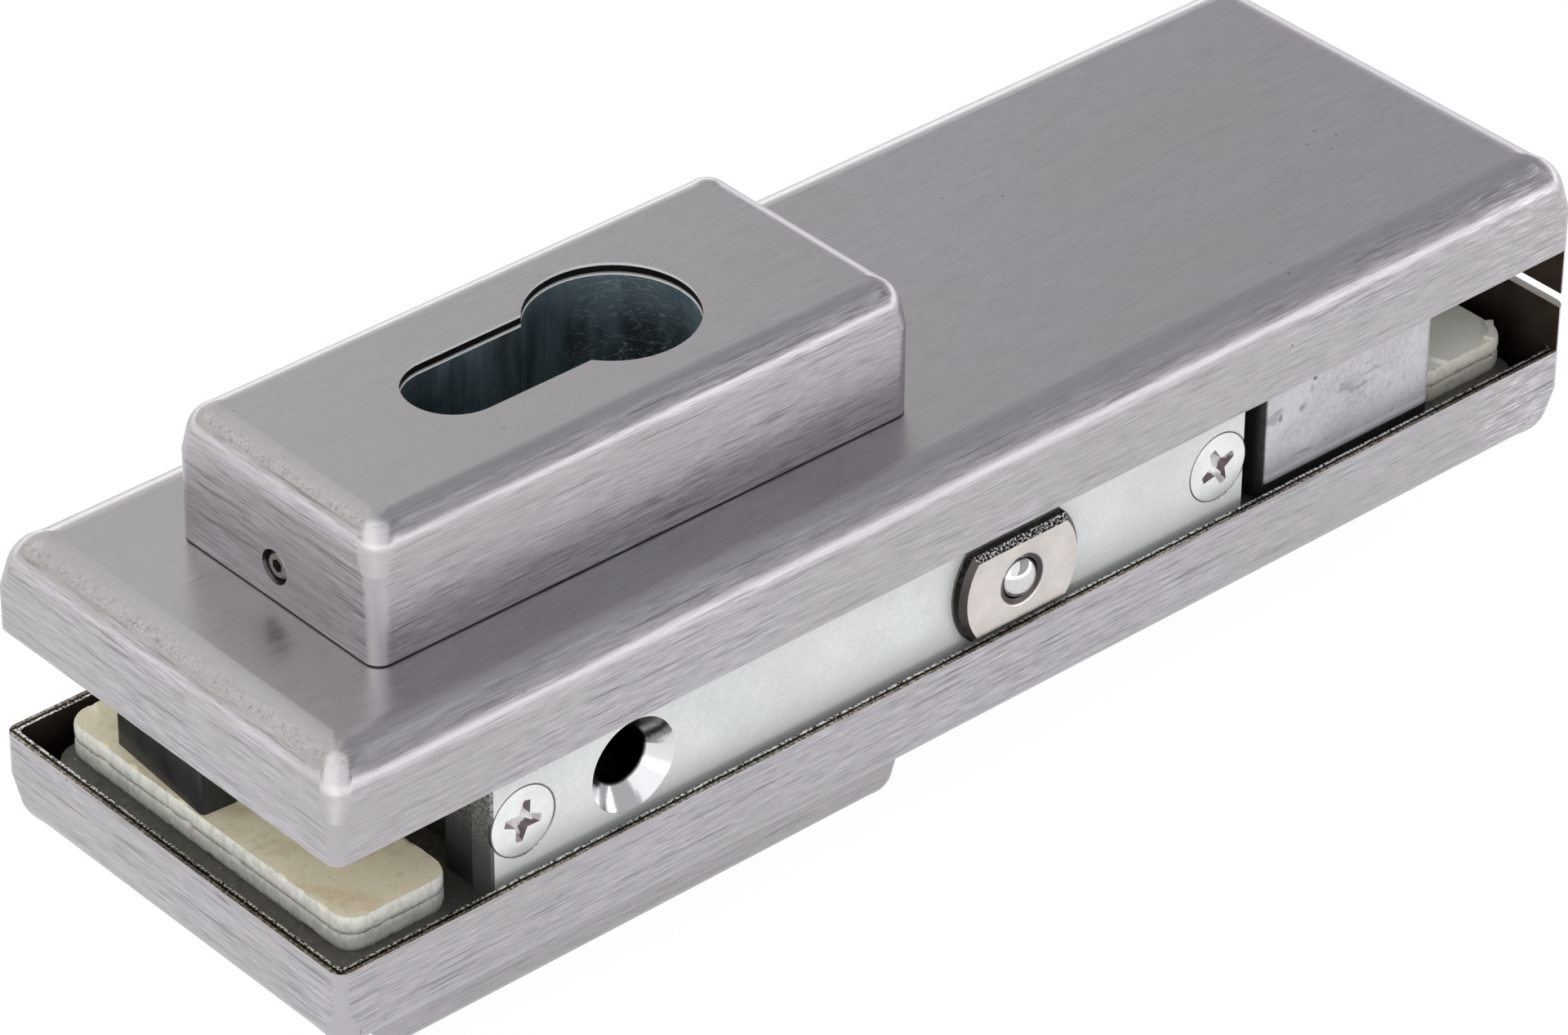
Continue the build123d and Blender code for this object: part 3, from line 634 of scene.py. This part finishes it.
class Finishes(Enum):
    """Every finish of the lock."""

    COVER = BrushedSteel("brushed cover", STEEL, 0.30, (27.3, 1.0, 0.0), 7.0)
    HOUSING = BrushedSteel("brushed housing", STEEL, 0.30, (-8.0, 0.0, 0.0), 2.0, cut_heights=(30.96, -27.96),
                           foot=17.0)
    GUIDE = PlatedGuide("plated guide", (0.12, 0.17, 0.20), 0.34)
    PLATE = DieCast("clamp plate casting", (0.16, 0.152, 0.137), 0.45, 0.6, 1900, 0.4, 0.3, (0.5, 0.5, 0.48))
    BLOCK = DieCast("distance block casting", (0.57, 0.555, 0.585), 0.50, 0.45, 1500, 1.0, 0.6,
                    (0.66, 0.65, 0.68), 7.1)
    FOREND = Galvanised("galvanised forend", (0.77, 0.80, 0.80), 0.48, 0.3, 0.9, 0.85)
    CASE = Galvanised("galvanised case", (0.34, 0.345, 0.34), 0.48, 0.5, 0.85)
    BOLT = NickelBolt("nickel bolt", (0.74, 0.69, 0.67), 0.26)
    BALL = BrightPlate("polished ball", (0.72, 0.71, 0.72), 0.07, 1.0, 0.1)
    HEAD = BrightPlate("bright screw head", (0.90, 0.91, 0.92), 0.30, 0.45, 0.12, (0.25, 0.19, 0.21), HEADS)
    SCREW = BrightPlate("bright screw", (0.68, 0.69, 0.70), 0.26, 0.9, 0.3)
    GRUB = BrightPlate("dark grub screw", (0.30, 0.29, 0.27), 0.24, 0.95, 0.6)
    SPRING = BrightPlate("spring steel", (0.42, 0.42, 0.44), 0.30, 0.95, 0.4)
    FACING = GasketBoard("cork facing", (0.90, 0.84, 0.66), 0.82, (0.66, 0.50, 0.30), (0.80, 0.80, 0.75))
    BACKING = GasketBoard("fibre backing", (0.76, 0.76, 0.70), 0.85, (0.58, 0.56, 0.48), (0.74, 0.75, 0.71))
    SPACER = BlackPlastic("black spacer", (0.014, 0.014, 0.017), 0.36)


# ----- Making pieces -----


def both(node: str) -> tuple[str, ...]:
    """Names of a node in the upper and the lower half."""
    return tuple(f"{side.title}_{node}" for side in Side)


def dress(finish: Finishes, *nodes: str) -> None:
    """Puts a finish on CAD nodes that keep their shape.

    Args:
        finish: Finish for their slots.
        nodes: Names of the nodes.
    """
    for node in nodes:
        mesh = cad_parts[node].data
        if not mesh.materials:
            mesh.materials.append(None)
        for index in range(len(mesh.materials)):
            mesh.materials[index] = finish.value.material()
        LOG.info("dressed %s with %s", node, finish.value.title)


def finished_piece(title: str, shape: Shape, finish: Finishes, body: str, node: str,
                   smooth_under: float) -> bpy.types.Object:
    """Turns a finished bmesh into a piece of the lock.

    Args:
        title: Name of the piece.
        shape: Bmesh in millimetres, in the lock's own frame. It's freed here.
        finish: Finish for the piece.
        body: Body that the piece moves with.
        node: CAD node that the piece stands for.
        smooth_under: Edges flatter than this angle in degrees shade smoothly.

    Returns:
        The piece's object.
    """
    bmesh.ops.scale(shape, vec=(MM, MM, MM), verts=shape.verts)
    for face in shape.faces:
        face.smooth = True
    for edge in shape.edges:
        edge.smooth = len(edge.link_faces) == 2 and edge.calc_face_angle(0) < math.radians(smooth_under)
    mesh = bpy.data.meshes.new(title)
    shape.to_mesh(mesh)
    shape.free()
    mesh.materials.append(finish.value.material())
    piece = bpy.data.objects.new(title, mesh)
    bpy.context.scene.collection.objects.link(piece)
    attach(piece, body)
    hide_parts(node)
    LOG.info("built %s with %d faces", title, len(mesh.polygons))
    return piece


def join(shape: Shape, part: Shape) -> None:
    """Adds a part to a shape and frees the part.

    Args:
        shape: Bmesh to add to.
        part: Bmesh that is added.
    """
    mesh = bpy.data.meshes.new("part")
    part.to_mesh(mesh)
    part.free()
    shape.from_mesh(mesh)
    bpy.data.meshes.remove(mesh)


def rise(edge: bmesh.types.BMEdge) -> float:
    """Difference in height between an edge's ends."""
    return abs(edge.verts[0].co.z - edge.verts[1].co.z)


@dataclass
class Covers:
    """The two brushed covers and the spring clips that hold them."""

    def dress(self) -> None:
        """Dresses the covers and their clips."""
        dress(Finishes.COVER, *both("cover"))
        dress(Finishes.SPRING, *both("cover_clips"))


@dataclass
class CylinderHousings:
    """Raised housings, the guides inside them and their screws."""

    def dress(self) -> None:
        """Dresses the housings, guides and screws of both halves."""
        dress(Finishes.HOUSING, *both("cylinder_housing"))
        dress(Finishes.GUIDE, *both("cylinder_guide"))
        dress(Finishes.GRUB, *both("grub_screw"))
        dress(Finishes.SCREW, *both("guide_screws"))


@dataclass
class ClampPlates:
    """Cast clamp plates, with the screws, the distance block and the loose spacer between them."""

    def dress(self) -> None:
        """Dresses the plates and what joins them."""
        dress(Finishes.PLATE, *both("clamp_plate"))
        dress(Finishes.SCREW, "clamp_screws")
        dress(Finishes.BLOCK, "distance_block")
        dress(Finishes.SPACER, "transit_spacer")


@dataclass
class GasketLayers:
    """Two-layer gasket pads of one half: a fibre backing and a cork facing, with frayed cut edges."""

    side: Side
    pads: tuple[tuple[float, float, float], ...] = ((-49.8, 13.0, 0.0), (92.52, 13.7, 0.36))
    front: float = -20.1
    back: float = 24.0
    corner_radius: float = 2.6
    corner_steps: int = 9
    facing_span: Span = (5.40, 7.27)
    backing_span: Span = (7.31, 9.19)
    cuts: tuple[tuple[float, int], ...] = ((20.0, 90), (4.0, 20))
    wall_cuts: int = 5
    rim_width: float = 0.80
    rim_slope: float = 0.25
    wave: float = 0.03
    ragged: float = 0.10
    curl: float = 0.16
    torn_above: float = 0.36
    torn_most: float = 0.22
    fibres: int = 46
    fibre_margin: float = 0.2
    fibre_sunk: float = 0.12
    seed: int = 11

    def build(self) -> None:
        """Builds both layers of this half."""
        layers = (("facing", self.facing_span, Finishes.FACING, "gasket_cork"),
                  ("backing", self.backing_span, Finishes.BACKING, "gasket_fibre"))
        for index, (layer, span, finish, slot) in enumerate(layers):
            shape = bmesh.new()
            low, high = sorted((span[0] * self.side.value, span[1] * self.side.value))
            for end, (left, width, hollow) in enumerate(self.pads):
                size = (width, self.back - self.front, high - low)
                middle = (left + width / 2, (self.front + self.back) / 2, (low + high) / 2)
                self.add_pad(shape, middle, size, hollow, self.seed + 7 * index + 3 * end)
                self.add_fibres(shape, (left, left + width), (low, high), self.seed + 5 * index + end)
            finished_piece(f"{self.side.title}_{layer}_pads", shape, finish, "lock",
                           f"{self.side.title}_gasket_{layer}", 60)

    def add_pad(self, shape: Shape, middle: Point, size: Point, hollow: float, seed: int) -> None:
        """Adds one pad with rounded corners, a raised rim and ragged sides.

        Args:
            shape: Bmesh to add to.
            middle: Middle of the pad.
            size: Size of the pad along each axis.
            hollow: Depth of the faces inside their rims, or 0 for flat faces.
            seed: Start of this pad's ragged pattern.
        """
        pad = bmesh.new()
        bmesh.ops.create_cube(pad, size=1, matrix=Matrix.Translation(middle) @ Matrix.Diagonal((*size, 1)))
        bmesh.ops.bevel(pad, geom=[edge for edge in pad.edges if rise(edge) > size[2] / 2],
                        offset=self.corner_radius, segments=self.corner_steps, affect="EDGES", profile=0.5,
                        material=-1)
        for length, cuts in self.cuts:
            runs = [edge for edge in pad.edges if edge.calc_length() > length]
            bmesh.ops.subdivide_edges(pad, edges=runs, cuts=cuts, use_grid_fill=True)
        for cap in [face for face in pad.faces if len(face.verts) > 12 and hollow > 0]:
            bmesh.ops.inset_region(pad, faces=[cap], thickness=self.rim_width, depth=0.0)
            bmesh.ops.inset_region(pad, faces=[cap], thickness=self.rim_slope, depth=-hollow)
        walls = [edge for edge in pad.edges if rise(edge) > size[2] / 2]
        bmesh.ops.subdivide_edges(pad, edges=walls, cuts=self.wall_cuts, use_grid_fill=True)
        self.fray(pad, middle, size, seed)
        bmesh.ops.recalc_face_normals(pad, faces=pad.faces)
        join(shape, pad)

    def fray(self, pad: Shape, middle: Point, size: Point, seed: int) -> None:
        """Moves the sides of a pad in and out, as a blunt cut leaves them, and waves its faces.

        Args:
            pad: Bmesh of the pad.
            middle: Middle of the pad.
            size: Size of the pad along each axis.
            seed: Start of the pattern.
        """
        pad.normal_update()
        drift = Vector((seed * 13.1, seed * 7.7, seed * 3.3))
        low = middle[2] - size[2] / 2
        for vertex in pad.verts:
            place, outward = vertex.co, Vector((vertex.normal.x, vertex.normal.y, 0))
            rim = outward.length > 0.4 or any(abs(place[axis] - middle[axis]) > size[axis] / 2 - 0.1
                                              for axis in (0, 1))
            if not rim or outward.length < 0.05:
                place.z += self.wave * noise.noise(place * 0.9 + drift) * (1 if place.z > middle[2] else -1)
                continue
            height = (place.z - low) / size[2]
            coarse = noise.noise(place * 0.8 + drift)
            fine = noise.noise(Vector((place.x * 4.0, place.y * 4.0, place.z * 2.2)) + drift)
            on_corner = min(abs(outward.x), abs(outward.y)) > 0.12 * outward.length
            torn = min(self.torn_most, max(0.0, noise.noise(place * 1.7 - drift) - self.torn_above))
            move = (self.ragged * (0.45 * coarse + 0.55 * fine - 0.55) - (0.0 if on_corner else 0.9 * torn)
                    - self.curl * (2 * height - 1) ** 4)
            vertex.co += outward.normalized() * move

    def add_fibres(self, shape: Shape, ends: Span, span: Span, seed: int) -> None:
        """Adds short loose fibres on the sides of a pad.

        Args:
            shape: Bmesh to add to.
            ends: Left and right end of the pad.
            span: Lower and upper face of the pad.
            seed: Seed of their places.
        """
        pick = random.Random(seed)
        low, high = span[0] + self.fibre_margin, span[1] - self.fibre_margin
        width, sunk = ends[1] - ends[0], self.fibre_sunk
        for _ in range(self.fibres):
            if pick.random() < 0.35:
                place = Vector((ends[0] + pick.uniform(2.4, width - 2.4), self.front + sunk,
                                pick.uniform(low, high)))
                out = Vector((pick.uniform(-0.9, 0.9), -0.35, pick.uniform(-0.8, 0.8)))
            else:
                right = pick.random() < 0.5
                place = Vector((ends[0] + (width - sunk if right else sunk),
                                pick.uniform(self.front + 2.6, self.back - 2.6), pick.uniform(low, high)))
                out = Vector(((0.35 if right else -0.35), pick.uniform(-0.9, 0.9), pick.uniform(-0.8, 0.8)))
            length = pick.uniform(0.25, 0.75)
            turn = out.normalized().to_track_quat("Z", "Y").to_matrix().to_4x4()
            bmesh.ops.create_cone(shape, cap_ends=True, segments=4, radius1=pick.uniform(0.025, 0.05),
                                  radius2=0.008, depth=length,
                                  matrix=Matrix.Translation(place + out.normalized() * length * 0.3) @ turn)


@dataclass
class CrossScrews:
    """Countersunk screws with a pressed cross recess, turned towards one side."""

    title: str
    node: str
    places: tuple[Point, ...]
    turns: tuple[float, ...]
    head_radius: float = 4.0
    shank_radius: float = 2.0
    length: float = 6.6
    wing: float = 0.50
    reach_share: float = 0.57
    depth: float = 1.3
    crown: float = 0.06
    lip: float = 0.34
    tip: float = 0.4

    def build(self) -> None:
        """Builds the screws as one piece and puts it in place of their CAD node."""
        shape = bmesh.new()
        for place, turn in zip(self.places, self.turns):
            screw = self.screw()
            stand = Matrix.Translation(place) @ Matrix.Rotation(math.radians(90), 4, "X")
            spun = stand @ Matrix.Rotation(math.radians(turn), 4, "Z")
            bmesh.ops.transform(screw, matrix=spun, verts=screw.verts)
            join(shape, screw)
        finished_piece(self.title, shape, Finishes.HEAD, "lock", self.node, 30)

    def screw(self) -> Shape:
        """One screw that points down from the middle of its head at the origin.

        Returns:
            The screw's bmesh.
        """
        shape = bmesh.new()
        recess = self.recess_outline(shape)
        rim = bmesh.ops.create_circle(shape, cap_ends=False, radius=self.head_radius * 0.9, segments=64)
        loop = list({edge for vertex in rim["verts"] for edge in vertex.link_edges})
        bmesh.ops.bridge_loops(shape, edges=loop + recess)
        neck = -self.crown - self.lip
        profile = ((self.head_radius * 0.975, -self.crown), (self.head_radius, -self.crown - 0.14),
                   (self.head_radius - 0.04, neck),
                   (self.shank_radius, neck - (self.head_radius - self.shank_radius)),
                   (self.shank_radius, -self.length + self.tip), (self.shank_radius - self.tip, -self.length))
        for radius, height in profile:
            loop = self.next_ring(shape, loop, height, radius)
        bmesh.ops.contextual_create(shape, geom=loop)
        reach = self.head_radius * self.reach_share
        for share, depth in ((0.97, 0.07), (0.80, 0.45 * self.depth), (0.55, 0.8 * self.depth),
                             (0.12, self.depth)):
            recess = self.next_ring(shape, recess, -depth, reach * share, True)
        bmesh.ops.contextual_create(shape, geom=recess)
        bmesh.ops.recalc_face_normals(shape, faces=shape.faces)
        return shape

    def recess_outline(self, shape: Shape) -> Edges:
        """Cross-shaped outline of the recess, at height 0.

        Args:
            shape: Bmesh to add to.

        Returns:
            The outline's edges.
        """
        wing, reach, waist = self.wing, self.head_radius * self.reach_share, self.wing * 1.45
        corner = [(reach, -wing * 0.8), (reach, wing * 0.8), (waist, waist)]
        verts = []
        for quarter in range(4):
            turn = Matrix.Rotation(math.radians(90 * quarter), 3, "Z")
            verts += [shape.verts.new(turn @ Vector((x, y, 0))) for x, y in corner]
        edges = [shape.edges.new((one, other)) for one, other in zip(verts, verts[1:] + verts[:1])]
        cut = bmesh.ops.subdivide_edges(shape, edges=edges, cuts=3)["geom_inner"]
        return list({*edges, *(edge for item in cut if isinstance(item, bmesh.types.BMVert)
                               for edge in item.link_edges)})

    def next_ring(self, shape: Shape, loop: Edges, height: float, radius: float,
                  at_most: bool = False) -> Edges:
        """Extrudes a ring to a new height and radius.

        Args:
            shape: Bmesh to add to.
            loop: Edges of the ring before.
            height: New height.
            radius: New radius.
            at_most: Leaves points within the radius where they are.

        Returns:
            Edges of the new ring.
        """
        grown = bmesh.ops.extrude_edge_only(shape, edges=loop)["geom"]
        for vertex in (item for item in grown if isinstance(item, bmesh.types.BMVert)):
            flat = Vector((vertex.co.x, vertex.co.y, 0))
            if not at_most or flat.length > radius:
                flat = flat.normalized() * radius
            vertex.co = Vector((flat.x, flat.y, height))
        return [item for item in grown if isinstance(item, bmesh.types.BMEdge)
                and all(abs(vertex.co.z - height) < 1e-6 for vertex in item.verts)]


@dataclass
class LockCase:
    """Galvanised case with its lid, forend and screws."""

    screw_face: float = -22.605
    screw_turns: Span = (-14, 22)

    def dress(self) -> None:
        """Dresses the case, its lid, the forend and the plain screws."""
        dress(Finishes.CASE, "lock_case", "lock_case_lid")
        dress(Finishes.FOREND, "forend_plate")
        dress(Finishes.SCREW, "lid_screws", "case_screws")

    def build(self) -> None:
        """Builds the two cross screws of the forend."""
        places = tuple((x, self.screw_face, z) for x, z in HEADS)
        CrossScrews("forend_cross_screws", "forend_screws", places, self.screw_turns).build()


@dataclass
class ThrownBolt:
    """Bolt, its tail and detent, and the sprung ball in its nose."""

    ball_spring_end: float = -11.5
    ball_spring_keep: float = 0.90
    detent_floor: float = -7.2
    detent_keep: float = 0.55

    def dress(self) -> None:
        """Dresses every rigid piece that moves with the bolt, and the detent's rivet."""
        dress(Finishes.BOLT, "deadbolt")
        dress(Finishes.CASE, "bolt_tail")
        dress(Finishes.BALL, "bolt_ball")
        dress(Finishes.SPRING, "tail_pins")
        dress(Finishes.SCREW, "ball_plug", "detent_rivet")

    def build(self) -> None:
        """Makes the two springs."""
        self.spring("ball_spring", "bolt")
        self.spring("detent_spring", "lock")

    def spring(self, node: str, body: str) -> None:
        """Makes a spring of its CAD node's shape.

        Args:
            node: CAD node that it stands for.
            body: Body that it sits on.
        """
        source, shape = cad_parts[node], bmesh.new()
        shape.from_mesh(source.data)
        bmesh.ops.transform(shape, matrix=Matrix.Scale(1 / MM, 4) @ source.matrix_world, verts=shape.verts)
        bmesh.ops.remove_doubles(shape, verts=shape.verts, dist=0.0005)
        piece = finished_piece(f"{node}_steel", shape, Finishes.SPRING, body, node, 30)
        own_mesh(piece)


@dataclass
class Studio:
    """Pale floor, a soft lamp, the sky and the camera."""

    floor_height: float = -29.15
    floor_size: float = 12
    floor_glow: float = 1.06
    lens: float = 167.5
    camera_at: Point = (-379.84, -449.69, 408.48)
    camera_right: Point = (0.748659, -0.662916, 0.007221)
    camera_down: Point = (-0.368357, -0.425008, -0.826850)
    camera_forward: Point = (0.551201, 0.616369, -0.562376)
    sky_heights: tuple[tuple[float, Colour], ...] = (
        (0.0, (0.80,) * 3), (0.04, (0.55,) * 3), (0.09, (0.98,) * 3), (0.16, (0.98,) * 3),
        (0.27, (0.18,) * 3), (0.58, (0.21,) * 3), (0.80, (0.19,) * 3), (1.0, (0.19,) * 3))
    low_sides: tuple[tuple[float, Colour], ...] = (
        (0.0, (1.75, 1.75, 1.75)), (0.36, (2.6, 2.62, 2.52)), (0.43, (3.0, 3.02, 2.88)),
        (0.57, (2.1, 2.07, 2.14)), (1.0, (2.65, 2.6, 2.65)))
    high_sides: tuple[tuple[float, Colour], ...] = (
        (0.0, (3.7, 3.62, 3.4)), (0.10, (4.3, 4.25, 3.95)), (0.44, (4.3, 4.34, 4.1)),
        (0.50, (2.55, 2.6, 2.58)), (0.545, (2.1, 2.1, 2.18)), (0.75, (2.15, 2.15, 2.2)),
        (1.0, (2.4, 2.4, 2.45)))
    high_from: Span = (0.22, 0.36)
    lamp_at: Point = (-0.56, -0.47, 1.05)
    lamp_aim: Point = (0.02, 0, 0)
    lamp_size: float = 2.4
    lamp_power: float = 12.5

    def set_camera(self) -> None:
        """Makes the camera at the photograph's viewing angle, for a frame of 1920 by 1267."""
        data = bpy.data.cameras.new("camera")
        data.sensor_width = 36
        data.lens = self.lens
        data.clip_start, data.clip_end = 0.01, 30
        camera = bpy.data.objects.new("camera", data)
        bpy.context.scene.collection.objects.link(camera)
        right, down, forward = map(Vector, (self.camera_right, self.camera_down, self.camera_forward))
        turn = Matrix((right, -down, -forward)).transposed().to_4x4()
        camera.matrix_world = Matrix.Translation(Vector(self.camera_at) * MM) @ turn
        bpy.context.scene.camera = camera

    def lay_floor(self) -> None:
        """Lays the white floor, which shows a soft shadow."""
        shape = bmesh.new()
        bmesh.ops.create_grid(shape, x_segments=1, y_segments=1, size=self.floor_size,
                              matrix=Matrix.Translation((0, 0, self.floor_height * MM)))
        mesh = bpy.data.meshes.new("floor")
        shape.to_mesh(mesh)
        shape.free()
        floor = bpy.data.objects.new("floor", mesh)
        bpy.context.scene.collection.objects.link(floor)
        mesh.materials.append(bpy.data.materials.new("white floor"))
        graph = Graph(mesh.materials[0])
        matt = graph.make("BsdfDiffuse", {"Color": (0.86, 0.86, 0.86)})
        glow = graph.make("Emission", {"Strength": self.floor_glow})
        graph.end("Material", graph.make("MixShader", {0: self.background_rays(graph), 1: matt, 2: glow}))

    def background_rays(self, graph: Graph) -> Value:
        """Share of plain white for rays from the camera, and for those by way of metal and glass.

        Args:
            graph: Tree to add to.

        Returns:
            The share.
        """
        seen, glossy, through = (graph.make("LightPath", {}, f"Is {kind} Ray")
                                 for kind in ("Camera", "Glossy", "Transmission"))
        return (seen * 0.9).greater(glossy.greater(through) * 0.5)

    def paint_sky(self) -> None:
        """Paints the surroundings: plain white for the camera, and soft bands of light for the metal."""
        world = bpy.data.worlds.new("studio")
        bpy.context.scene.world = world
        graph = Graph(world)
        height = graph.split(graph.ray)[2]
        half = Vector(self.camera_right) / 2
        across = graph.make("VectorMath", {0: graph.ray, 1: half}, "Value", operation="DOT_PRODUCT")
        bands = self.ramp(graph, height, self.sky_heights)
        low, high = (self.ramp(graph, across + 0.5, stops) for stops in (self.low_sides, self.high_sides))
        raised = graph.make("MapRange", {0: height, 1: self.high_from[0], 2: self.high_from[1]})
        sky = graph.make("Mix", {FACTOR: 1.0, COLOUR_A: bands, COLOUR_B: raised.mix(low, high)}, COLOUR_OUT,
                         data_type="RGBA", blend_type="MULTIPLY")
        seen = graph.make("LightPath", {}, "Is Camera Ray")
        graph.end("World", graph.make("Background", {"Color": seen.mix(sky, (1, 1, 1))}))

    def ramp(self, graph: Graph, value: Value, stops: tuple[tuple[float, Colour], ...]) -> Value:
        """Colour that follows a value.

        Args:
            graph: Tree to add to.
            value: Value from 0 to 1.
            stops: Places along the value and their colours, the first at 0 and the last at 1.

        Returns:
            The colour.
        """
        coloured = graph.make("ValToRGB", {0: value})
        elements = coloured.socket.node.color_ramp.elements
        for position, _ in stops[1:-1]:
            elements.new(position)
        for stop, (position, colour) in zip(elements, stops):
            stop.position, stop.color = position, (*colour, 1)
        return coloured

    def hang_lamp(self) -> None:
        """Hangs the soft square lamp, aimed at the lock and out of the camera's sight."""
        data = bpy.data.lights.new("near", "AREA")
        data.size, data.energy = self.lamp_size, self.lamp_power
        lamp = bpy.data.objects.new("near", data)
        bpy.context.scene.collection.objects.link(lamp)
        lamp.location = self.lamp_at
        lamp.rotation_mode = "QUATERNION"
        lamp.rotation_quaternion = (Vector(self.lamp_aim) - lamp.location).to_track_quat("-Z", "Y")
        lamp.visible_camera = False

    def build(self) -> None:
        """Sets up the whole studio."""
        self.set_camera()
        self.lay_floor()
        self.paint_sky()
        self.hang_lamp()
        bpy.context.scene.view_settings.view_transform = "Standard"


def main() -> None:
    """Sets up the studio, then dresses and builds the lock, piece by piece."""
    logging.basicConfig(level=logging.INFO, format="%(message)s")
    Studio().build()
    case, bolt = LockCase(), ThrownBolt()
    for dressed in (Covers(), CylinderHousings(), ClampPlates(), case, bolt):
        dressed.dress()
    for built in (*map(GasketLayers, Side), case, bolt):
        built.build()


if __name__ == "__main__":
    main()
